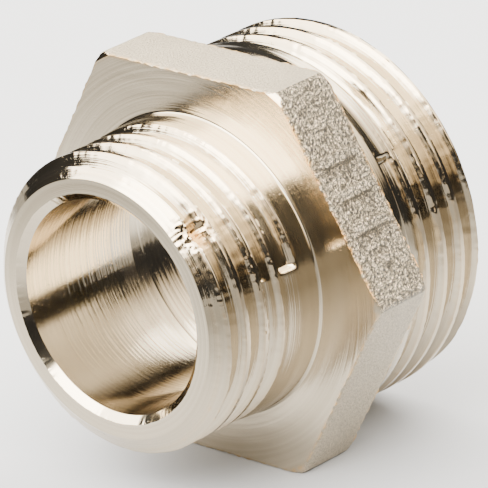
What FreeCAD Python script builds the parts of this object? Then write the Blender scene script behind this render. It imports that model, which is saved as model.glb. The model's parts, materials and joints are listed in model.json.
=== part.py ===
import FreeCAD, Part
import math
import os

# Reducing hex nipple: one piece of nickel-plated brass with a G 1/2 external thread on one end,
# a G 3/4 external thread on the other and a spanner hexagon between them.
# The flow axis is X. The small end points to -X and the large end to +X. Two hex flats face up
# and down (+Z and -Z). The origin is on the flow axis, midway between the two end faces.
# All sizes are in millimetres and all angles in degrees.

# The one physical piece is divided at its two hex faces into three named regions that meet face
# to face: small_threaded_end, hex_collar and large_threaded_end.

# ---- threads (both 14 threads per inch, 55 degree flanks, right hand) ----
THREAD_PITCH = 25.4 / 14
FLANK_HALF_ANGLE = 27.5
ROOT_ROUNDING = 0.249
SMALL_PITCH_DIAMETER = 19.793
SMALL_CREST_OVER_PITCH = 0.887   # crest diameter over pitch diameter
LARGE_PITCH_DIAMETER = 25.279
LARGE_CREST_OVER_PITCH = 0.921
SHANK_OVER_CREST = 0.32          # shank diameter over crest diameter
THREAD_CUT_MARGIN = 0.6          # how far the cutting tool stands out of the thread crest

# ---- small end ----
SMALL_END_LENGTH = 9.35
SMALL_SHANK_LENGTH = 1.6         # plain shank next to the hex
SMALL_TAPER_LENGTH = 1.4         # from the shank down to the thread crest
SMALL_WALL = 1.82                # from the thread root to the bore
SMALL_THREAD_END_ANGLE = 76.0    # where the groove stops, from +Z towards -Y

# ---- large end ----
LARGE_END_LENGTH = 9.15
LARGE_SHANK_LENGTH = 0.9
LARGE_TAPER_LENGTH = 0.8
LARGE_WALL = 1.9
LARGE_THREAD_END_ANGLE = 54.0

# ---- hexagon ----
HEX_OVER_LARGE_THREAD = 0.8      # hexagon across flats over the large thread's crest diameter
HEX_THICKNESS = 5.0
HEX_CORNER_RADIUS = 0.6
HEX_FACE_MARGIN = 1.6            # radius of the turned face beyond the flats
HEX_CHAMFER_ANGLE = 38.0         # slope of the turned chamfer on the hex corners
SHANK_FILLET = 0.2               # concave radius between a shank and the hex face

# ---- end faces and bores ----
END_FACE_BELOW_ROOT = 0.3        # the end face stops this far inside the thread root
END_CHAMFER_LENGTH = 1.0
BORE_CHAMFER = 0.5
SMALL_BORE_PAST_HEX_FACE = 1.3   # the small bore runs this far into the hexagon

# ---- blank raised marks on one flat: bars along the flow axis between two round pips ----
MARKED_FLAT_ANGLE = 60.0         # from +Z towards -Y
MARK_HEIGHT = 0.25
MARK_WIDTH = 0.8
MARK_BAR_COUNT = 3
MARK_SPACING = 2.4
MARK_END_MARGIN = 0.8            # from the hex faces to the ends of a bar
MARK_SINK = 0.2                  # how far a mark's solid reaches into the flat

FLOW_AXIS = FreeCAD.Vector(1, 0, 0)
CENTRE = FreeCAD.Vector(0, 0, 0)

# ---- diameters that follow from the threads ----
SMALL_CREST_DIAMETER = SMALL_PITCH_DIAMETER + SMALL_CREST_OVER_PITCH
SMALL_SHANK_DIAMETER = SMALL_CREST_DIAMETER + SHANK_OVER_CREST
LARGE_CREST_DIAMETER = LARGE_PITCH_DIAMETER + LARGE_CREST_OVER_PITCH
LARGE_SHANK_DIAMETER = LARGE_CREST_DIAMETER + SHANK_OVER_CREST
HEX_ACROSS_FLATS = LARGE_CREST_DIAMETER + HEX_OVER_LARGE_THREAD

# ---- places along the flow axis ----
TOTAL_LENGTH = SMALL_END_LENGTH + HEX_THICKNESS + LARGE_END_LENGTH
SMALL_FACE_X = -TOTAL_LENGTH / 2
HEX_SMALL_SIDE_X = SMALL_FACE_X + SMALL_END_LENGTH
HEX_LARGE_SIDE_X = HEX_SMALL_SIDE_X + HEX_THICKNESS
LARGE_FACE_X = HEX_LARGE_SIDE_X + LARGE_END_LENGTH
BORE_STEP_X = HEX_SMALL_SIDE_X + SMALL_BORE_PAST_HEX_FACE


def sharp_root_radius(pitch_diameter):
    """Radius at which the two flanks of a groove would meet in a point."""
    half_height = THREAD_PITCH / (4 * math.tan(math.radians(FLANK_HALF_ANGLE)))
    return pitch_diameter / 2 - half_height


def root_radius(pitch_diameter):
    """Radius of the bottom of the rounded thread groove."""
    rise = ROOT_ROUNDING / math.sin(math.radians(FLANK_HALF_ANGLE)) - ROOT_ROUNDING
    return sharp_root_radius(pitch_diameter) + rise


SMALL_BORE_RADIUS = root_radius(SMALL_PITCH_DIAMETER) - SMALL_WALL
LARGE_BORE_RADIUS = root_radius(LARGE_PITCH_DIAMETER) - LARGE_WALL


def in_plane(x, r):
    """A point of a turned outline: x along the flow axis, r away from it."""
    return FreeCAD.Vector(x, 0, r)


def turned(edges):
    """The solid of revolution of a closed outline about the flow axis."""
    face = Part.Face(Part.Wire(edges))
    return face.revolve(CENTRE, FLOW_AXIS, 360)


def lines_through(points):
    """Straight edges that join the points in order."""
    return [Part.makeLine(a, b) for a, b in zip(points, points[1:])]


def end_blank(end_x, hex_x, crest_radius, shank_radius, shank_length, taper_length, face_radius, bore_radius):
    """A threaded end before its groove is cut, with its shank flaring into the hex face."""
    inward = math.copysign(1, hex_x - end_x)
    flare_x = hex_x - inward * SHANK_FILLET
    shank_end_x = hex_x - inward * shank_length
    taper_end_x = shank_end_x - inward * taper_length
    flare_middle = SHANK_FILLET * (1 - math.sqrt(0.5))
    flare = Part.Arc(
        in_plane(flare_x, shank_radius),
        in_plane(hex_x - inward * flare_middle, shank_radius + flare_middle),
        in_plane(hex_x, shank_radius + SHANK_FILLET),
    ).toShape()
    outside = [
        in_plane(hex_x, bore_radius),
        in_plane(end_x + inward * BORE_CHAMFER, bore_radius),
        in_plane(end_x, bore_radius + BORE_CHAMFER),
        in_plane(end_x, face_radius),
        in_plane(end_x + inward * END_CHAMFER_LENGTH, crest_radius),
        in_plane(taper_end_x, crest_radius),
        in_plane(shank_end_x, shank_radius),
        in_plane(flare_x, shank_radius),
    ]
    base = Part.makeLine(in_plane(hex_x, shank_radius + SHANK_FILLET), in_plane(hex_x, bore_radius))
    return turned(lines_through(outside) + [flare, base])


def groove_section(pitch_diameter, outer_radius):
    """Section of the thread groove in the local XZ plane: two flanks and a rounded root."""
    flank = math.radians(FLANK_HALF_ANGLE)
    sharp = sharp_root_radius(pitch_diameter)
    half_width = (outer_radius - sharp) * math.tan(flank)
    centre_radius = sharp + ROOT_ROUNDING / math.sin(flank)
    tangent_radius = centre_radius - ROOT_ROUNDING * math.sin(flank)
    tangent_half_width = ROOT_ROUNDING * math.cos(flank)
    upper = FreeCAD.Vector(outer_radius, 0, half_width)
    lower = FreeCAD.Vector(outer_radius, 0, -half_width)
    root_upper = FreeCAD.Vector(tangent_radius, 0, tangent_half_width)
    root_lower = FreeCAD.Vector(tangent_radius, 0, -tangent_half_width)
    root_middle = FreeCAD.Vector(centre_radius - ROOT_ROUNDING, 0, 0)
    edges = [
        Part.makeLine(lower, root_lower),
        Part.Arc(root_lower, root_middle, root_upper).toShape(),
        Part.makeLine(root_upper, upper),
        Part.makeLine(upper, lower),
    ]
    return Part.Wire(edges)


def groove_cutter(pitch_diameter, outer_radius, turns):
    """A helical cutter about Z that starts at angle 0 and height 0."""
    helix = Part.makeHelix(THREAD_PITCH, turns * THREAD_PITCH, pitch_diameter / 2)
    section = groove_section(pitch_diameter, outer_radius)
    return Part.Wire(helix.Edges).makePipeShell([section], True, True)


def laid_along_flow(cutter, start_x, start_angle):
    """Turns a cutter from Z onto the flow axis. start_angle runs from +Z towards -Y."""
    placed = cutter.copy()
    placed.rotate(CENTRE, FreeCAD.Vector(0, 1, 0), 90)
    placed.rotate(CENTRE, FLOW_AXIS, start_angle - 180)
    placed.translate(FreeCAD.Vector(start_x, 0, 0))
    return placed


def groove_turns(run):
    """Turns of groove that cross a length of thread and leave it by more than one pitch."""
    return run / THREAD_PITCH + 1.25


def small_threaded_end():
    """The G 1/2 end: its groove runs in from the end face and stops short of the shank."""
    root = root_radius(SMALL_PITCH_DIAMETER)
    crest = SMALL_CREST_DIAMETER / 2
    shank = SMALL_SHANK_DIAMETER / 2
    blank = end_blank(
        SMALL_FACE_X, HEX_SMALL_SIDE_X, crest, shank,
        SMALL_SHANK_LENGTH, SMALL_TAPER_LENGTH, root - END_FACE_BELOW_ROOT, SMALL_BORE_RADIUS,
    )
    stop_x = HEX_SMALL_SIDE_X - SMALL_SHANK_LENGTH - THREAD_PITCH / 2
    turns = groove_turns(stop_x - SMALL_FACE_X)
    cutter = groove_cutter(SMALL_PITCH_DIAMETER, shank + THREAD_CUT_MARGIN, turns)
    start_angle = SMALL_THREAD_END_ANGLE - 360 * turns
    groove = laid_along_flow(cutter, stop_x - turns * THREAD_PITCH, start_angle)
    return blank.cut(groove)


def large_threaded_end():
    """The G 3/4 end: its groove starts beside the shank and runs out through the end face."""
    root = root_radius(LARGE_PITCH_DIAMETER)
    crest = LARGE_CREST_DIAMETER / 2
    shank = LARGE_SHANK_DIAMETER / 2
    blank = end_blank(
        LARGE_FACE_X, HEX_LARGE_SIDE_X, crest, shank,
        LARGE_SHANK_LENGTH, LARGE_TAPER_LENGTH, root - END_FACE_BELOW_ROOT, LARGE_BORE_RADIUS,
    )
    start_x = HEX_LARGE_SIDE_X + LARGE_SHANK_LENGTH + THREAD_PITCH / 2
    turns = groove_turns(LARGE_FACE_X - start_x)
    cutter = groove_cutter(LARGE_PITCH_DIAMETER, shank + THREAD_CUT_MARGIN, turns)
    groove = laid_along_flow(cutter, start_x, LARGE_THREAD_END_ANGLE)
    return blank.cut(groove)


def hex_prism():
    """The spanner hexagon with rounded long edges and two flats facing up and down."""
    circumradius = HEX_ACROSS_FLATS / math.sqrt(3)
    corners = []
    for step in range(7):
        angle = math.radians(30 + 60 * step)
        corners.append(
            FreeCAD.Vector(HEX_SMALL_SIDE_X, -circumradius * math.sin(angle), circumradius * math.cos(angle))
        )
    prism = Part.Face(Part.makePolygon(corners)).extrude(FreeCAD.Vector(HEX_THICKNESS, 0, 0))
    long_edges = [edge for edge in prism.Edges if abs(edge.BoundBox.XLength - HEX_THICKNESS) < 1e-6]
    return prism.makeFillet(HEX_CORNER_RADIUS, long_edges)


def corner_turning():
    """The turned outline that the hexagon's corners are cut back to."""
    face_radius = HEX_ACROSS_FLATS / 2 + HEX_FACE_MARGIN
    corner_radius = HEX_ACROSS_FLATS / math.sqrt(3)
    depth = (corner_radius - face_radius) * math.tan(math.radians(HEX_CHAMFER_ANGLE))
    points = [
        in_plane(HEX_SMALL_SIDE_X, 0),
        in_plane(HEX_SMALL_SIDE_X, face_radius),
        in_plane(HEX_SMALL_SIDE_X + depth, corner_radius),
        in_plane(HEX_LARGE_SIDE_X - depth, corner_radius),
        in_plane(HEX_LARGE_SIDE_X, face_radius),
        in_plane(HEX_LARGE_SIDE_X, 0),
        in_plane(HEX_SMALL_SIDE_X, 0),
    ]
    return turned(lines_through(points))


def stepped_bore():
    """The flow passage through the hexagon: small bore, square step, large bore."""
    points = [
        in_plane(HEX_SMALL_SIDE_X, 0),
        in_plane(HEX_SMALL_SIDE_X, SMALL_BORE_RADIUS),
        in_plane(BORE_STEP_X, SMALL_BORE_RADIUS),
        in_plane(BORE_STEP_X, LARGE_BORE_RADIUS),
        in_plane(HEX_LARGE_SIDE_X, LARGE_BORE_RADIUS),
        in_plane(HEX_LARGE_SIDE_X, 0),
        in_plane(HEX_SMALL_SIDE_X, 0),
    ]
    return turned(lines_through(points))


def raised_marks():
    """Blank bars and pips that stand on one flat, built on the +Z flat and then turned to theirs."""
    flat_z = HEX_ACROSS_FLATS / 2
    height = MARK_HEIGHT + MARK_SINK
    middle_x = (HEX_SMALL_SIDE_X + HEX_LARGE_SIDE_X) / 2
    bar_length = HEX_THICKNESS - 2 * MARK_END_MARGIN
    first_y = -MARK_SPACING * (MARK_BAR_COUNT - 1) / 2
    marks = []
    for step in range(MARK_BAR_COUNT):
        corner = FreeCAD.Vector(
            middle_x - bar_length / 2, first_y + step * MARK_SPACING - MARK_WIDTH / 2, flat_z - MARK_SINK
        )
        marks.append(Part.makeBox(bar_length, MARK_WIDTH, height, corner))
    for side in (-1, 1):
        foot = FreeCAD.Vector(middle_x, side * (MARK_SPACING - first_y), flat_z - MARK_SINK)
        marks.append(Part.makeCylinder(MARK_WIDTH / 2, height, foot))
    for mark in marks:
        mark.rotate(CENTRE, FLOW_AXIS, MARKED_FLAT_ANGLE)
    return marks


def hex_collar():
    """The hexagon with turned corners, the stepped flow passage and the raised marks."""
    collar = hex_prism().common(corner_turning())
    collar = collar.fuse(raised_marks())
    return collar.cut(stepped_bore()).removeSplitter()


NODES = {
    "small_threaded_end": small_threaded_end,
    "hex_collar": hex_collar,
    "large_threaded_end": large_threaded_end,
}

os.makedirs("parts", exist_ok=True)
for name, build in NODES.items():
    shape = build()
    solid = shape.Solids[0]
    print(name, "solids", len(shape.Solids), "valid", solid.isValid(), "volume", round(solid.Volume, 1))
    solid.exportStep(f"parts/{name}.step")
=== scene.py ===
import json
import math

import bmesh
import bpy
import numpy as np
from mathutils import Matrix, Vector


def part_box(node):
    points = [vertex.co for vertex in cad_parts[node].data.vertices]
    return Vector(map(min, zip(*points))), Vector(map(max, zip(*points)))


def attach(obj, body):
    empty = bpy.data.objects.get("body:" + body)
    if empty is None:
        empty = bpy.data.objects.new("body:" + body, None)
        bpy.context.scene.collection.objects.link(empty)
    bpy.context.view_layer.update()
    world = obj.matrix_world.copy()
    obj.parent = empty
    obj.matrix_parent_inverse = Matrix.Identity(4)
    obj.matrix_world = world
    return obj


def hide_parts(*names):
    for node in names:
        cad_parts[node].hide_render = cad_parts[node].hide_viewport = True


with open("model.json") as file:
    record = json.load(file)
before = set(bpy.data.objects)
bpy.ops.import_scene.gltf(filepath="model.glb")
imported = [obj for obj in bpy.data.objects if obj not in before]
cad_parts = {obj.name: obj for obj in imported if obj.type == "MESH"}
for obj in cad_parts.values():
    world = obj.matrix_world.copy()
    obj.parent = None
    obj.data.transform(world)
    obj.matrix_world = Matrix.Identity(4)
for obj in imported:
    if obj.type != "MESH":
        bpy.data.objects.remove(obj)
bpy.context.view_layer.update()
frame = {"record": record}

# Reducing hex nipple in nickel-plated brass. The flow axis is X, the small end points to -X.
# The script works in metres; MM turns millimetres into metres. Angles are in degrees, and an
# "angle" round the flow axis runs from +Z towards -Y.
MM = 0.001


# ---- sizes read from the frame ----
MOUNTS = {mount["name"]: mount for mount in frame["record"]["mounts"]}
SMALL_LOW, SMALL_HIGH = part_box("small_threaded_end")
HEX_LOW, HEX_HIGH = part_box("hex_collar")
LARGE_LOW, LARGE_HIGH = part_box("large_threaded_end")
SMALL_CREST = MOUNTS["small_thread"]["dims"]["r_mm"] * MM
LARGE_CREST = MOUNTS["large_thread"]["dims"]["r_mm"] * MM
SMALL_BORE = MOUNTS["small_bore"]["dims"]["r_mm"] * MM
LARGE_BORE = MOUNTS["large_bore"]["dims"]["r_mm"] * MM
FLAT_DISTANCE = MOUNTS["upper_hex_flat"]["pos_m"][2]
BORE_STEP_X = HEX_LOW.x + 1.3 * MM

# ---- threads: 14 per inch, 55 degree flanks ----
PITCH = 25.4 / 14 * MM
FLANK = math.radians(27.5)
ROOT_ROUNDING = 0.249 * MM
THREAD_HEIGHT = 1.162 * MM
CREST_TRIM = 0.13 * MM            # the crests are this much lower than the standard ones
RUN_IN_TURNS = 1.25               # the groove gets deeper over this many turns from its stop
RUN_IN_STEPS = 4                  # depth steps per turn
RUN_IN_FILL = 0.62                # share of the depth left uncut at the stop
STOP_TURNS = 0.006                # the cut end of the groove rises over this part of a turn
GROOVE_WANDER = 0.012 * MM
SHANK_FILLET = 0.2 * MM
END_CHAMFER_LENGTH = 1.0 * MM
END_FACE_BELOW_ROOT = 0.3 * MM
BORE_CHAMFER = 0.5 * MM
FLANK_ROWS = 5
LIP_ROW = 5                       # the ring of the end face that touches the bore chamfer
LIP_CHIPS = 0.025 * MM

# ---- burrs, nicks and the dent on the crests ----
EDGE_WIDTH = 0.07 * MM
EDGE_FADE = 0.2 * MM              # the burrs fade out over this length at both ends
BURR_HEIGHT = 0.05 * MM
EDGE_GRAIN = 0.010 * MM
EDGE_ROUNDING = 0.012 * MM
EDGE_SHIFT = 0.03 * MM
NICK_DEPTH = 0.14 * MM
CREST_BAND = 0.10 * MM            # the worn top of a crest
DENT_FROM_END = 1.3 * MM
DENT_ANGLE = math.radians(48)
DENT_SIZE = 0.95 * MM
DENT_DEPTH = 0.38 * MM

# ---- hexagon ----
CORNER_ROUNDING = 0.6 * MM
FACE_RADIUS = FLAT_DISTANCE + 1.6 * MM
CHAMFER_SLOPE = math.tan(math.radians(38))
MARKED_FLAT_ANGLE = 60
MARK_HEIGHT = 0.25 * MM
MARK_WIDTH = 0.8 * MM
MARK_SPACING = 2.4 * MM
MARK_END_MARGIN = 0.8 * MM
MARKED_FLAT = MARKED_FLAT_ANGLE // 60
UPPER_FLAT = 0

# ---- surface of the forged flats ----
EDGE_ROWS = (0, 0.03, 0.08)       # rows next to each hex face, in millimetres
FLAT_ROWS = 44
FLAT_ROWS_INSET = 0.16 * MM
COARSE_GRAIN = 0.036 * MM
FINE_GRAIN = 0.006                # on the plain flats, in millimetres
UPPER_GRAIN = 0.008               # on the upper flat, in millimetres
SLOW_WAVE = 0.010 * MM
ROLLED_WIDTH = 0.12 * MM          # the rolled edge beside each hex face
TURNED_WANDER = 0.012 * MM
PASSAGE_RIDGE = 0.045 * MM        # tool ridges in the large bore inside the hexagon
FACE_RIDGE = 0.003 * MM           # tool marks on the small side's face
FACE_WAVES = 97.0                 # radians of tool mark from the foot of the face to its edge
FACE_FOOT = 0.2 * MM              # the face's marks start this far inside the shank's fillet
FACE_INNER = 0.3 * MM             # the first ring is this far outside the bore

# ---- mesh sizes and placement ----
SMALL_COLUMNS = 720
LARGE_COLUMNS = 730
HEX_COLUMNS = 930
FLOOR_RADIUS = 0.5
SHARP_ANGLE = math.radians(35)
SHANK_RADIUS = SMALL_HIGH.z - SHANK_FILLET


# ---------------------------------------------------------------- noise

def lattice(ix, iy, iz, seed):
    """A repeatable value from 0 to 1 at each whole-number lattice point."""
    h = (ix * 374761393 + iy * 668265263 + iz * 2147483647 + seed * 1274126177) & 0xFFFFFFFF
    h = ((h ^ (h >> 13)) * 1274126177) & 0xFFFFFFFF
    h = ((h ^ (h >> 16)) * 2246822519) & 0xFFFFFFFF
    return (h ^ (h >> 15)) / 0xFFFFFFFF


def smooth_noise(points, size, seed):
    """Value noise from -1 to 1 at points, in cells of the given size."""
    scaled = np.asarray(points, float) / size
    base = np.floor(scaled).astype(np.int64)
    part = scaled - base
    part = part * part * (3 - 2 * part)
    total = np.zeros(scaled.shape[:-1])
    for corner in range(8):
        step = np.array([(corner >> axis) & 1 for axis in range(3)])
        weight = np.prod(np.where(step, part, 1 - part), axis=-1)
        cell = base + step
        total += weight * lattice(cell[..., 0], cell[..., 1], cell[..., 2], seed)
    return 2 * total - 1


def smoothstep(low, high, value):
    """0 below low, 1 above high and a smooth rise between."""
    t = np.clip((value - low) / (high - low), 0, 1)
    return t * t * (3 - 2 * t)


# ---------------------------------------------------------------- meshes

def ring_points(x, radius, angle):
    """Points at a place along the flow axis, a radius and an angle (radians) from +Z towards -Y."""
    x, radius, angle = np.broadcast_arrays(x, radius, angle)
    return np.stack([x, -radius * np.sin(angle), radius * np.cos(angle)], -1)


# ---------------------------------------------------------------- threaded ends

def groove_depths():
    """Places across one pitch, centred on the groove, where the thread's section needs a point."""
    tip = THREAD_HEIGHT + ROOT_ROUNDING * (1 / math.sin(FLANK) - 1)
    edge = tip * math.tan(FLANK)
    root = ROOT_ROUNDING * math.cos(FLANK)
    flank = np.linspace(root, edge, FLANK_ROWS)[1:-1]
    side = [root * 0.45, root * 0.85, root, *flank, edge - 0.03 * MM]
    side += [edge + 0.03 * MM, edge + 0.11 * MM]
    return np.array([-PITCH / 2, *[-s for s in reversed(side)], 0, *side])


class ThreadedEnd:
    """The sizes of one end, and its radius at any place.

    toward is -1 for the small end and 1 for the large. "out" is a distance from the hex face.
    """

    def __init__(
        self, low, high, toward, crest, bore, shank_length, taper_length, stop_angle, seed,
    ):
        self.toward = toward
        self.free_x = high.x if toward > 0 else low.x
        self.hex_x = low.x if toward > 0 else high.x
        self.crest = crest
        self.bore = bore
        self.shank = high.z - SHANK_FILLET
        self.shank_length = shank_length
        self.taper_length = taper_length
        self.stop_angle = math.radians(stop_angle)
        self.seed = seed
        self.length = high.x - low.x
        self.stop = shank_length + PITCH / 2
        self.root = crest - THREAD_HEIGHT + CREST_TRIM
        self.face_radius = self.root - END_FACE_BELOW_ROOT

    def blank(self, out):
        """The turned radius before threading, out from the hex face."""
        taper_end = self.shank_length + self.taper_length
        taper = np.interp(out, [self.shank_length, taper_end], [self.shank, self.crest])
        chamfer_start = self.length - END_CHAMFER_LENGTH
        return np.where(
            out > chamfer_start,
            np.interp(out, [chamfer_start, self.length], [self.crest, self.face_radius]),
            taper,
        )

    def groove(self, across, turns):
        """The groove's radius, across its own section and turns from where it stops."""
        flank_radius = self.sharp() + np.abs(across) / math.tan(FLANK)
        centre = self.sharp() + ROOT_ROUNDING / math.sin(FLANK)
        inside = np.clip(ROOT_ROUNDING**2 - across**2, 0, None)
        rounded = centre - np.sqrt(inside)
        radius = np.where(np.abs(across) < ROOT_ROUNDING * math.cos(FLANK), rounded, flank_radius)
        step = np.floor(np.clip(turns, 0, RUN_IN_TURNS) * RUN_IN_STEPS) / RUN_IN_STEPS
        uncut = RUN_IN_FILL * np.clip(1 - step / RUN_IN_TURNS, 0, 1)
        return np.maximum(radius, self.root + (self.crest - self.root) * uncut)

    def sharp(self):
        """Radius at which the two flanks would meet."""
        return self.root + ROOT_ROUNDING - ROOT_ROUNDING / math.sin(FLANK)


def thread_surface(end, columns):
    """Points [row, column] of the threaded outside, rows along the helix, and their wear."""
    depths = groove_depths()
    turns_out = int(math.ceil((end.length - end.stop) / PITCH)) + 1
    starts = [-2, -1, *range(turns_out)]
    turned = np.linspace(0, 1, columns, endpoint=False)
    turn = np.repeat(np.array(starts, float), len(depths))[:, None] + turned[None, :]
    across = np.tile(depths, len(starts))[:, None] + np.zeros((1, columns))
    out = end.stop + turn * PITCH + across
    out = np.clip(out, SHANK_FILLET, end.length)
    angle = end.stop_angle + end.toward * turned[None, :] * 2 * math.pi + np.zeros_like(out)
    x = end.hex_x + end.toward * out

    blank = end.blank(out)
    where = ring_points(x, blank, angle)
    wobble = smooth_noise(where, 0.5 * MM, end.seed)
    lifted = smoothstep(0.0, STOP_TURNS, turn)
    cut = end.groove(across + GROOVE_WANDER * wobble, turn)
    radius = np.minimum(blank, np.where(turn >= 0, blank + (cut - blank) * lifted, blank))

    # burrs and nicks along the crest edges
    edge = (end.crest - end.sharp()) * math.tan(FLANK)
    near_edge = np.exp(-((np.abs(across) - edge) / EDGE_WIDTH) ** 2) * (turn >= -0.02)
    near_edge = near_edge * smoothstep(0, EDGE_FADE, end.length - out)
    near_edge = near_edge * smoothstep(0, EDGE_FADE, out - SHANK_FILLET)
    fine = smooth_noise(where, 0.24 * MM, end.seed + 1)
    coarse = smooth_noise(where, 0.7 * MM, end.seed + 2)
    burr = smoothstep(0.25, 0.75, fine) * smoothstep(-0.4, 0.5, coarse)
    radius = radius + near_edge * (BURR_HEIGHT * burr + EDGE_GRAIN * fine - EDGE_ROUNDING)
    shift = smooth_noise(where, 0.3 * MM, end.seed + 3)
    x = x + near_edge * end.toward * EDGE_SHIFT * shift
    nick = smoothstep(0.80, 0.97, smooth_noise(where, 0.9 * MM, end.seed + 4))
    radius = radius - near_edge * nick * NICK_DEPTH
    on_crest = (radius > end.crest - CREST_BAND) & (turn >= 0)
    wear = np.clip(near_edge * (0.2 + 0.6 * burr) + 0.6 * nick * near_edge, 0, 1)
    wear = wear + 0.15 * on_crest
    radius = np.where(out >= end.length, np.minimum(radius, end.face_radius), radius)
    return x, radius, angle, np.clip(wear, 0, 1), len(depths)


def dent(x, radius, angle, centre_x, centre_angle, size, depth, seed):
    """Pushes a rough dent into a surface round one place."""
    spread = ((x - centre_x) / size) ** 2 + ((angle - centre_angle) * radius / size) ** 2
    rough = smooth_noise(ring_points(x, radius, angle), 0.22 * MM, seed)
    share = np.exp(-spread)
    return radius - share * depth * (0.7 + 0.7 * rough), share


def ring_rows(end, places, angle):
    """Plain rings (out from the hex face, radius) as rows over the same angles."""
    out = np.array([place[0] for place in places])[:, None] + np.zeros((1, angle.shape[1]))
    radius = np.array([place[1] for place in places])[:, None] + np.zeros((1, angle.shape[1]))
    return end.hex_x + end.toward * out, radius


def face_places(end):
    """From the thread's outer end over the end face, through the bore and back to the hex side."""
    lip = end.bore + BORE_CHAMFER
    face = [(end.length, radius) for radius in np.linspace(end.face_radius, lip, 7)[1:]]
    chamfer = [(end.length - BORE_CHAMFER * t, lip - BORE_CHAMFER * t) for t in (0.5, 1.0)]
    bore = [(out, end.bore) for out in np.linspace(end.length - BORE_CHAMFER, 0, 14)[1:]]
    back = [(0, radius) for radius in np.linspace(end.bore, end.shank + SHANK_FILLET, 4)[1:]]
    flare = []
    for step in range(1, 5):
        turn = math.pi / 2 * step / 4
        out = SHANK_FILLET * (1 - math.cos(turn))
        flare.append((out, end.shank + SHANK_FILLET * (1 - math.sin(turn))))
    return face + chamfer + bore + back + flare


def threaded_end(name, end, columns, dented=False):
    """One threaded end as a closed mesh."""
    x, radius, angle, wear, pitch_rows = thread_surface(end, columns)
    if dented:
        centre_x = end.free_x + DENT_FROM_END
        whole_angle = angle % (2 * math.pi)
        radius, share = dent(
            x, radius, whole_angle, centre_x, DENT_ANGLE, DENT_SIZE, DENT_DEPTH, seed=40,
        )
        wear = np.clip(wear + share * 0.8, 0, 1)
    angles = angle[:1]
    ring_x, ring_radius = ring_rows(end, face_places(end), angles)
    first_ring = ring_points(ring_x[:1], ring_radius[:1], angles)
    chips = smooth_noise(first_ring, 0.25 * MM, end.seed + 7)
    ring_radius[LIP_ROW] += LIP_CHIPS * chips[0]
    all_x = np.concatenate([x, ring_x])
    all_radius = np.concatenate([radius, ring_radius])
    all_angle = np.concatenate([angle, np.repeat(angles, len(ring_x), axis=0)])
    all_wear = np.concatenate([wear, np.zeros_like(ring_x)])
    grid = ring_points(all_x, all_radius, all_angle)
    return helical_mesh(name, grid, all_wear, len(x), pitch_rows)


def helical_mesh(name, grid, wear, thread_rows, pitch_rows):
    """A closed mesh whose first thread_rows rows climb by one pitch in each turn."""
    rows, columns = grid.shape[:2]
    index = np.arange(rows * columns).reshape(rows, columns)
    right = np.roll(index, -1, axis=1)
    climbed = np.minimum(np.arange(thread_rows) + pitch_rows, thread_rows - 1)
    right[:thread_rows, -1] = index[climbed, 0]
    below = np.roll(index, -1, axis=0)
    corner = np.roll(right, -1, axis=0)
    quads = np.stack([index, right, corner, below], -1).reshape(-1, 4)
    return finished_mesh(name, grid, wear, quads)


def finished_mesh(name, grid, wear, quads):
    """Welds the doubled points of a grid, turns its faces outward and marks its sharp edges."""
    mesh = bpy.data.meshes.new(name)
    mesh.from_pydata(grid.reshape(-1, 3).tolist(), [], quads.tolist())
    layer = mesh.attributes.new("wear", "FLOAT", "POINT")
    layer.data.foreach_set("value", wear.astype(np.float32).ravel())
    edit = bmesh.new()
    edit.from_mesh(mesh)
    bmesh.ops.remove_doubles(edit, verts=edit.verts, dist=1e-7)
    bmesh.ops.dissolve_degenerate(edit, dist=1e-8, edges=edit.edges)
    bmesh.ops.recalc_face_normals(edit, faces=edit.faces)
    for face in edit.faces:
        face.smooth = True
    wires = [edge for edge in edit.edges if not edge.link_faces]
    bmesh.ops.delete(edit, geom=wires, context="EDGES")
    edit.to_mesh(mesh)
    edit.free()
    mesh.set_sharp_from_angle(angle=SHARP_ANGLE)
    piece = bpy.data.objects.new(name, mesh)
    bpy.context.scene.collection.objects.link(piece)
    return piece


# ---------------------------------------------------------------- hexagon

def hex_outline(columns):
    """Evenly spaced points round the rounded hexagon: across, up, outward angle, flat and place."""
    slope = math.tan(math.radians(30))
    half_flat = FLAT_DISTANCE * slope - CORNER_ROUNDING * slope
    arc = CORNER_ROUNDING * math.radians(60)
    side = 2 * half_flat + arc
    place = np.arange(columns) / columns * 6 * side
    number = np.floor(place / side)
    along = place - number * side
    flat_angle = number * math.radians(60)
    on_arc = np.clip(along - 2 * half_flat, 0, None) / CORNER_ROUNDING
    direction = flat_angle + on_arc
    tangent = np.minimum(along, 2 * half_flat) - half_flat
    inner = FLAT_DISTANCE - CORNER_ROUNDING
    across = -(inner * np.sin(flat_angle) + tangent * np.cos(flat_angle))
    across = across - CORNER_ROUNDING * np.sin(direction)
    up = inner * np.cos(flat_angle) - tangent * np.sin(flat_angle)
    up = up + CORNER_ROUNDING * np.cos(direction)
    nearest = np.round(direction / math.radians(60)).astype(int) % 6
    return across, up, direction, nearest, tangent


def mark_height(x, tangent):
    """Height of the blank raised marks on a flat: three bars along the flow axis, two pips."""
    middle = (HEX_LOW.x + HEX_HIGH.x) / 2
    half_bar = (HEX_HIGH.x - HEX_LOW.x) / 2 - MARK_END_MARGIN - MARK_WIDTH / 2
    nearest = np.full(np.broadcast(x, tangent).shape, 1.0)
    for step in (-1, 0, 1):
        past = np.maximum(np.abs(x - middle) - half_bar, 0)
        nearest = np.minimum(nearest, np.hypot(past, tangent - step * MARK_SPACING))
    for step in (-2, 2):
        nearest = np.minimum(nearest, np.hypot(x - middle, tangent - step * MARK_SPACING))
    return MARK_HEIGHT * smoothstep(MARK_WIDTH / 2 + 0.08 * MM, MARK_WIDTH / 2 - 0.10 * MM, nearest)


def turned_limit(x):
    """The radius that the hexagon's corners are turned back to, at a place across its thickness."""
    inset = np.minimum(x - HEX_LOW.x, HEX_HIGH.x - x)
    return FACE_RADIUS + inset / CHAMFER_SLOPE


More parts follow.
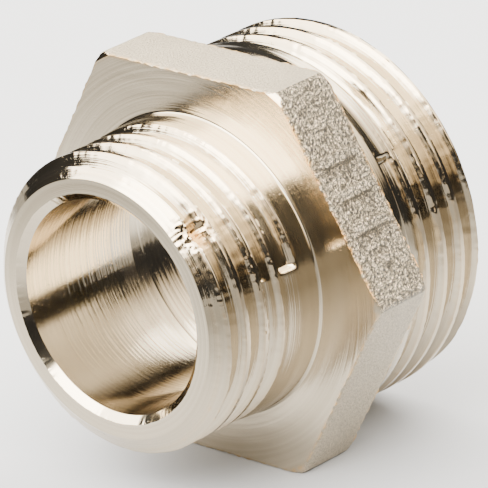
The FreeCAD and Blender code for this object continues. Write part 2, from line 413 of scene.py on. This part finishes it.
def hex_rim(columns):
    """Points [row, column] of the flats and corners, and their wear."""
    across, up, direction, number, tangent = hex_outline(columns)
    edge_rows = np.array(EDGE_ROWS) * MM
    x = np.concatenate([
        HEX_LOW.x + edge_rows,
        np.linspace(HEX_LOW.x + FLAT_ROWS_INSET, HEX_HIGH.x - FLAT_ROWS_INSET, FLAT_ROWS),
        HEX_HIGH.x - edge_rows[::-1],
    ])[:, None]
    where = np.stack(np.broadcast_arrays(x, across[None, :], up[None, :]), -1)
    marked = (number == MARKED_FLAT)[None, :]
    upper = (number == UPPER_FLAT)[None, :]
    coarse = smooth_noise(where, 0.26 * MM, 11) + 0.8 * smooth_noise(where, 0.17 * MM, 12)
    medium = smooth_noise(where, 0.22 * MM, 13)
    marks = mark_height(x, tangent[None, :])
    on_mark = marks / MARK_HEIGHT
    slow = smooth_noise(where, 1.6 * MM, 14)
    blend = np.where(marked, 1.0, 0.0)
    height = blend * (COARSE_GRAIN * coarse * (1 - 0.75 * on_mark) + marks)
    plain_grain = np.where(upper, UPPER_GRAIN, FINE_GRAIN)
    height = height + (1 - blend) * plain_grain * MM * medium + SLOW_WAVE * slow
    from_edge = np.minimum(x - HEX_LOW.x, HEX_HIGH.x - x)
    rolled = np.exp(-from_edge / ROLLED_WIDTH)
    burr = smooth_noise(where, 0.28 * MM, 15)
    height = height + rolled * (0.08 * burr - 0.06) * MM
    y = across[None, :] - height * np.sin(direction)[None, :]
    z = up[None, :] + height * np.cos(direction)[None, :]
    radius = np.hypot(y, z)
    limit = turned_limit(x) + TURNED_WANDER * smooth_noise(where, 0.4 * MM, 16)
    scale = np.minimum(1, limit / radius)
    grid = np.stack([x + np.zeros_like(y), y * scale, z * scale], -1)
    wear = np.clip(rolled * (0.5 + 1.2 * burr), 0, 1)
    return grid, wear


def hex_collar(name, columns):
    """The hexagon as a closed mesh: flats, both turned faces and the stepped passage."""
    rim, rim_wear = hex_rim(columns)
    far_edge, near_edge = rim[-1], rim[0]
    direction = np.arctan2(-near_edge[:, 1], near_edge[:, 2])

    def ring(x, radius):
        return ring_points(x, radius, direction)

    def between(edge, circle, shares):
        return [edge + (circle - edge) * share for share in shares]

    shares = (0.03, 0.10, 0.22, 0.4, 0.6, 0.8, 1.0)
    far_side = between(far_edge, ring(HEX_HIGH.x, LARGE_BORE), shares)
    ridges = np.linspace(HEX_HIGH.x, BORE_STEP_X, 24)[1:]
    passage = [
        ring(x, LARGE_BORE - PASSAGE_RIDGE * (number % 2)) for number, x in enumerate(ridges[:-1])
    ]
    passage.append(ring(ridges[-1], LARGE_BORE))
    step = [ring(BORE_STEP_X, radius) for radius in np.linspace(LARGE_BORE, SMALL_BORE, 4)[1:]]
    neck = [ring(x, SMALL_BORE) for x in np.linspace(BORE_STEP_X, HEX_LOW.x, 4)[1:]]
    far_rings = np.stack(far_side + passage + step + neck)
    rings = np.concatenate([far_rings, near_face(near_edge, direction)])
    grid = np.concatenate([rim, rings])
    wear = np.concatenate([rim_wear, np.zeros(rings.shape[:2])])
    rows = len(grid)
    index = np.arange(rows * columns).reshape(rows, columns)
    right = np.roll(index, -1, axis=1)
    below = np.roll(index, -1, axis=0)
    corner = np.roll(right, -1, axis=0)
    quads = np.stack([index, below, corner, right], -1).reshape(-1, 4)
    return finished_mesh(name, grid, wear, quads)


def near_face(edge, direction):
    """Rings of the small side's turned face, from the bore out to its edge, with tool marks."""
    edge_radius = np.hypot(edge[:, 1], edge[:, 2])
    rows = [ring_points(HEX_LOW.x, SMALL_BORE + FACE_INNER, direction)]
    foot = SHANK_RADIUS - FACE_FOOT
    for share in np.linspace(0, 1, 20)[:-1]:
        radius = foot + (edge_radius - foot) * share
        wave = FACE_RIDGE * math.sin(share * FACE_WAVES) if share < 0.95 else 0
        rows.append(ring_points(HEX_LOW.x + wave, radius, direction))
    return np.stack(rows)


# ---------------------------------------------------------------- materials

class Nodes:
    """Short calls for building one material's node tree."""

    def __init__(self, name):
        self.material = bpy.data.materials.new(name)
        self.material.use_nodes = True
        self.tree = self.material.node_tree
        self.shader = next(node for node in self.tree.nodes if node.type == "BSDF_PRINCIPLED")

    def add(self, kind, **settings):
        node = self.tree.nodes.new(kind)
        for key, value in settings.items():
            setattr(node, key, value)
        return node

    def put(self, socket, value):
        """Links an output to a socket, or sets a plain value on it."""
        if isinstance(value, bpy.types.NodeSocket):
            self.tree.links.new(value, socket)
        else:
            socket.default_value = value

    def math(self, operation, first, second=0.0, third=0.0):
        node = self.add("ShaderNodeMath", operation=operation)
        for socket, value in zip(node.inputs, (first, second, third)):
            self.put(socket, value)
        return node.outputs[0]

    def remap(self, value, low, high, to_low, to_high):
        node = self.add("ShaderNodeMapRange")
        for socket, item in zip(node.inputs, (value, low, high, to_low, to_high)):
            self.put(socket, item)
        return node.outputs[0]

    def noise(self, vector, scale, detail=2.0, roughness=0.5):
        node = self.add("ShaderNodeTexNoise")
        self.put(node.inputs["Vector"], vector)
        self.put(node.inputs["Scale"], scale)
        self.put(node.inputs["Detail"], detail)
        self.put(node.inputs["Roughness"], roughness)
        return node.outputs[0]

    def mix_color(self, share, first, second):
        node = self.add("ShaderNodeMix", data_type="RGBA")
        self.put(node.inputs["Factor"], share)
        self.put(node.inputs["A"], first)
        self.put(node.inputs["B"], second)
        return node.outputs["Result"]

    def bump(self, height, strength, distance, normal=None):
        node = self.add("ShaderNodeBump")
        self.put(node.inputs["Strength"], strength)
        self.put(node.inputs["Distance"], distance)
        self.put(node.inputs["Height"], height)
        if normal is not None:
            self.put(node.inputs["Normal"], normal)
        return node.outputs[0]


FINE_RINGS = 9000                 # noise cells per metre along the flow axis
FINE_DRIFT = 60                   # noise cells per metre across it
BROAD_RINGS = 4200
BROAD_DRIFT = 30
CLOUDS = 260
PITS = 5200
BLAST_CLOUDS = 400
RING_HEIGHT = 0.01 * MM
BROAD_RING_HEIGHT = 0.035 * MM
AROUND_THE_AXIS = 0.25            # turns the stretched gloss to lie along the tool marks

NICKEL = (0.60, 0.52, 0.395, 1)
NICKEL_DARK = (0.42, 0.35, 0.25, 1)
# Painted shade for the bottoms of the blasted craters.
PIT_PAINTED_SHADE = (0.10, 0.085, 0.065, 1)
BRASS = (0.74, 0.44, 0.14, 1)


def turned_coordinates(nodes, place, lines, drift):
    """A vector that changes fast along the flow axis and away from it and slowly round it."""
    split = nodes.add("ShaderNodeSeparateXYZ")
    nodes.put(split.inputs[0], place)
    x, y, z = split.outputs
    squares = nodes.math("ADD", nodes.math("MULTIPLY", y, y), nodes.math("MULTIPLY", z, z))
    radius = nodes.math("SQRT", squares)
    joined = nodes.add("ShaderNodeCombineXYZ")
    nodes.put(joined.inputs[0], nodes.math("MULTIPLY", nodes.math("ADD", x, radius), lines))
    nodes.put(joined.inputs[1], nodes.math("MULTIPLY", y, drift))
    nodes.put(joined.inputs[2], nodes.math("MULTIPLY", z, drift))
    return joined.outputs[0]


def turned_nickel(name, roughness, mark_strength, stretch):
    """Bright nickel over turned brass: rings round the flow axis, pits, brass at worn edges."""
    nodes = Nodes(name)
    place = nodes.add("ShaderNodeTexCoord").outputs["Object"]
    rings = turned_coordinates(nodes, place, FINE_RINGS, FINE_DRIFT)
    fine = nodes.noise(rings, 1.0, 3.0, 0.6)
    broad_rings = turned_coordinates(nodes, place, BROAD_RINGS, BROAD_DRIFT)
    broad = nodes.noise(broad_rings, 1.0, 2.0, 0.5)
    cloud = nodes.noise(place, CLOUDS, 3.0, 0.5)
    pits = nodes.remap(nodes.noise(place, PITS, 1.0, 0.5), 0.66, 0.74, 0.0, 1.0)
    wear = nodes.add("ShaderNodeAttribute", attribute_name="wear").outputs["Fac"]
    tint = nodes.mix_color(nodes.remap(broad, 0.35, 0.75, 0.0, 0.5), NICKEL, NICKEL_DARK)
    tint = nodes.mix_color(nodes.math("MULTIPLY", wear, 0.55), tint, BRASS)
    nodes.put(nodes.shader.inputs["Base Color"], tint)
    nodes.put(nodes.shader.inputs["Metallic"], 1.0)
    cloudy = nodes.remap(cloud, 0.3, 0.7, -0.03, 0.05)
    uneven = nodes.math("ADD", cloudy, nodes.math("MULTIPLY", broad, 0.06))
    nodes.put(nodes.shader.inputs["Roughness"], nodes.math("ADD", uneven, roughness))
    nodes.put(nodes.shader.inputs["Anisotropic"], stretch)
    nodes.put(nodes.shader.inputs["Anisotropic Rotation"], AROUND_THE_AXIS)
    around = nodes.add("ShaderNodeTangent", direction_type="RADIAL", axis="X")
    nodes.put(nodes.shader.inputs["Tangent"], around.outputs[0])
    marks = nodes.bump(fine, mark_strength, RING_HEIGHT)
    marks = nodes.bump(broad, mark_strength, BROAD_RING_HEIGHT, marks)
    marks = nodes.bump(nodes.math("SUBTRACT", 1.0, pits), 0.25, RING_HEIGHT, marks)
    nodes.put(nodes.shader.inputs["Normal"], marks)
    return nodes.material


def blasted_nickel(name, roughness, grain_size, grain_strength, pit_shade_share, pit_shade_top):
    """Nickel over a shot-blasted forged flat: small random craters that scatter the light, with
    painted shade darkening the crater bottoms.
    """
    nodes = Nodes(name)
    place = nodes.add("ShaderNodeTexCoord").outputs["Object"]
    grain = nodes.noise(place, 1 / grain_size, 3.0, 0.65)
    cloud = nodes.noise(place, BLAST_CLOUDS, 3.0, 0.5)
    wear = nodes.add("ShaderNodeAttribute", attribute_name="wear").outputs["Fac"]
    # Painted shade: the low parts of the grain, the crater bottoms, are mixed towards a dark
    # colour.
    tint = nodes.mix_color(nodes.remap(grain, 0.38, pit_shade_top, pit_shade_share, 0.0), NICKEL, PIT_PAINTED_SHADE)
    tint = nodes.mix_color(nodes.math("MULTIPLY", wear, 0.9), tint, BRASS)
    nodes.put(nodes.shader.inputs["Base Color"], tint)
    nodes.put(nodes.shader.inputs["Metallic"], 1.0)
    uneven = nodes.remap(cloud, 0.3, 0.7, roughness - 0.04, roughness + 0.06)
    nodes.put(nodes.shader.inputs["Roughness"], uneven)
    craters = nodes.bump(grain, grain_strength, grain_size * 1.6)
    nodes.put(nodes.shader.inputs["Normal"], craters)
    return nodes.material


# Floor colours of a painted pool of light: pale in the pool behind the object, darker round it and
# darkest far out as painted shade.
FLOOR_PAINTED_LIGHT_POOL = (0.40, 0.415, 0.45, 1)
FLOOR_PAINTED_POOL_FADE = (0.14, 0.145, 0.155, 1)
FLOOR_PAINTED_FAR_SHADE = (0.05, 0.05, 0.05, 1)
PAINTED_LIGHT_POOL_CENTRE = (0.033, 0.030, 0)


def floor_material():
    """A matt surface with a painted pool of light: palest behind the object, fading softly outwards
    to painted shade.
    """
    nodes = Nodes("floor_painted_light_pool")
    place = nodes.add("ShaderNodeTexCoord").outputs["Object"]
    distance = nodes.add("ShaderNodeVectorMath", operation="DISTANCE")
    nodes.put(distance.inputs[0], place)
    distance.inputs[1].default_value = PAINTED_LIGHT_POOL_CENTRE
    mottle = nodes.remap(nodes.noise(place, 40, 2.0, 0.5), 0.3, 0.7, -0.004, 0.004)
    reach = nodes.math("ADD", distance.outputs["Value"], mottle)
    near = nodes.remap(reach, 0.048, 0.080, 0.0, 1.0)
    far = nodes.remap(reach, 0.078, 0.115, 0.0, 1.0)
    # Painted light and shade: the pool colour fades to the darker surround, then to the painted far
    # shade.
    painted_pool = nodes.mix_color(near, FLOOR_PAINTED_LIGHT_POOL, FLOOR_PAINTED_POOL_FADE)
    nodes.put(nodes.shader.inputs["Base Color"], nodes.mix_color(far, painted_pool, FLOOR_PAINTED_FAR_SHADE))
    nodes.put(nodes.shader.inputs["Roughness"], 0.8)
    return nodes.material


# ---------------------------------------------------------------- studio

def sky_mask(tree, place, axis, low, high):
    """1 towards an axis and 0 away from it, with a soft edge between two cosines."""
    towards = tree.nodes.new("ShaderNodeVectorMath")
    towards.operation = "DOT_PRODUCT"
    towards.inputs[1].default_value = Vector(axis).normalized()
    tree.links.new(place.outputs["Generated"], towards.inputs[0])
    edge = tree.nodes.new("ShaderNodeMapRange")
    edge.interpolation_type = "SMOOTHSTEP"
    edge.inputs["From Min"].default_value = low
    edge.inputs["From Max"].default_value = high
    tree.links.new(towards.outputs["Value"], edge.inputs["Value"])
    return edge.outputs["Result"]


def sky_mix(tree, share, first, second):
    """Mixes two colours of the sky."""
    node = tree.nodes.new("ShaderNodeMix")
    node.data_type = "RGBA"
    tree.links.new(share, node.inputs["Factor"])
    for socket, value in ((node.inputs["A"], first), (node.inputs["B"], second)):
        if isinstance(value, bpy.types.NodeSocket):
            tree.links.new(value, socket)
        else:
            socket.default_value = value
    return node.outputs["Result"]


SKY_STRENGTH = 20.0
SKY_DARK = (0.0025, 0.0025, 0.0025, 1)
SKY_LOW_CREAM = (0.050, 0.041, 0.029, 1)
SKY_HIGH_CREAM = (0.24, 0.215, 0.175, 1)
SKY_WHITE = (0.55, 0.52, 0.46, 1)
SKY_BOX = (1.0, 0.96, 0.88, 1)


def studio_light():
    """A soft dome, dark near the horizon and cream above it, whiter at the back.

    It has one bright soft box overhead on the small end's side and a dark flag where the
    photographer stands.
    """
    world = bpy.data.worlds.new("studio")
    bpy.context.scene.world = world
    world.use_nodes = True
    tree = world.node_tree
    background = next(node for node in tree.nodes if node.type == "BACKGROUND")
    place = tree.nodes.new("ShaderNodeTexCoord")
    lit = sky_mask(tree, place, (-0.161, -0.150, 0.973), 0.31, 0.345)
    white = sky_mask(tree, place, (-0.214, 0.24, 1.0), 0.45, 0.51)
    box = sky_mask(tree, place, (-0.68, 0.06, 0.73), 0.88, 0.94)
    flag = sky_mask(tree, place, (-0.684, -0.628, 0.371), 0.925, 0.95)
    climb = sky_mask(tree, place, (-0.161, -0.165, 0.973), 0.32, 0.66)
    cream = sky_mix(tree, climb, SKY_LOW_CREAM, SKY_HIGH_CREAM)
    bright = sky_mix(tree, white, cream, SKY_WHITE)
    bright = sky_mix(tree, box, bright, SKY_BOX)
    color = sky_mix(tree, lit, SKY_DARK, bright)
    color = sky_mix(tree, flag, color, SKY_DARK)
    tree.links.new(color, background.inputs["Color"])
    background.inputs["Strength"].default_value = SKY_STRENGTH


def floor():
    """A round table top under the lower hex flat, pale only in its painted pool of light."""
    bpy.ops.mesh.primitive_circle_add(vertices=128, radius=FLOOR_RADIUS, fill_type="NGON")
    table_top = bpy.context.object
    table_top.name = "floor"
    table_top.location = (0, 0, HEX_LOW.z)
    table_top.data.materials.append(floor_material())


CAMERA_ANGLES = (-47.44, 21.79, 3.96)     # azimuth, elevation and roll
CAMERA_DISTANCE = 400.0                   # millimetres
CAMERA_RIGHT = 1.34                       # millimetres
CAMERA_UP = 0.55                          # millimetres
CAMERA_LENS = 442.76
CAMERA_SENSOR = 36


def camera():
    """A long lens that looks at the small end from a little above."""
    data = bpy.data.cameras.new("camera")
    item = bpy.data.objects.new("camera", data)
    bpy.context.scene.collection.objects.link(item)
    bpy.context.scene.camera = item
    azimuth, elevation, roll = (math.radians(value) for value in CAMERA_ANGLES)
    back = Vector((
        math.sin(azimuth) * math.cos(elevation),
        -math.cos(azimuth) * math.cos(elevation),
        math.sin(elevation),
    ))
    level = Vector((0, 0, 1)).cross(back).normalized()
    upright = back.cross(level)
    right = level * math.cos(roll) - upright * math.sin(roll)
    up = upright * math.cos(roll) + level * math.sin(roll)
    item.matrix_world = Matrix((right, up, back)).transposed().to_4x4()
    item.location = (back * CAMERA_DISTANCE + right * CAMERA_RIGHT + up * CAMERA_UP) * MM
    data.lens = CAMERA_LENS
    data.sensor_width = CAMERA_SENSOR
    data.clip_start, data.clip_end = 0.05, 5


# ---------------------------------------------------------------- build

def dress(piece, materials, node):
    """Gives a piece its materials, hangs it under the root body and hides the CAD node it stands
    for.
    """
    for material in materials:
        piece.data.materials.append(material)
    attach(piece, "root")
    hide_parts(node)


COLLAR_MATERIALS = ("turned", "plain flats", "marked flat")


def assign_by_place(piece):
    """Picks the collar's material for each face: turned faces, plain flats or marked flat."""
    angle = math.radians(MARKED_FLAT_ANGLE)
    marked_axis = Vector((0, -math.sin(angle), math.cos(angle)))
    for face in piece.data.polygons:
        centre = face.center
        radius = math.hypot(centre.y, centre.z)
        on_face = min(abs(centre.x - HEX_LOW.x), abs(centre.x - HEX_HIGH.x)) < 0.01 * MM
        on_cone = radius > turned_limit(centre.x) - 0.03 * MM
        if on_face or on_cone or radius < FLAT_DISTANCE - 1 * MM:
            kind = "turned"
        elif centre.dot(marked_axis) > FLAT_DISTANCE - 0.25 * MM:
            kind = "marked flat"
        else:
            kind = "plain flats"
        face.material_index = COLLAR_MATERIALS.index(kind)


bright = turned_nickel("turned_nickel", roughness=0.08, mark_strength=0.5, stretch=0.4)
faced = turned_nickel("faced_nickel", roughness=0.13, mark_strength=0.45, stretch=0.7)
fine_blast = blasted_nickel(
    "fine_blasted_nickel", roughness=0.38, grain_size=0.15 * MM, grain_strength=0.7,
    pit_shade_share=0.45, pit_shade_top=0.62,
)
coarse_blast = blasted_nickel(
    "coarse_blasted_nickel", roughness=0.13, grain_size=0.21 * MM, grain_strength=1.0,
    pit_shade_share=1.0, pit_shade_top=0.68,
)

small = ThreadedEnd(
    SMALL_LOW, SMALL_HIGH, -1, SMALL_CREST, SMALL_BORE,
    shank_length=1.6 * MM, taper_length=1.4 * MM, stop_angle=76, seed=3,
)
large = ThreadedEnd(
    LARGE_LOW, LARGE_HIGH, 1, LARGE_CREST, LARGE_BORE,
    shank_length=0.9 * MM, taper_length=0.8 * MM, stop_angle=54, seed=23,
)
small_skin = threaded_end("small_thread_skin", small, SMALL_COLUMNS, dented=True)
dress(small_skin, [bright], "small_threaded_end")
large_skin = threaded_end("large_thread_skin", large, LARGE_COLUMNS)
dress(large_skin, [bright], "large_threaded_end")
collar = hex_collar("hex_collar_skin", HEX_COLUMNS)
dress(collar, [faced, fine_blast, coarse_blast], "hex_collar")
assign_by_place(collar)

studio_light()
floor()
camera()
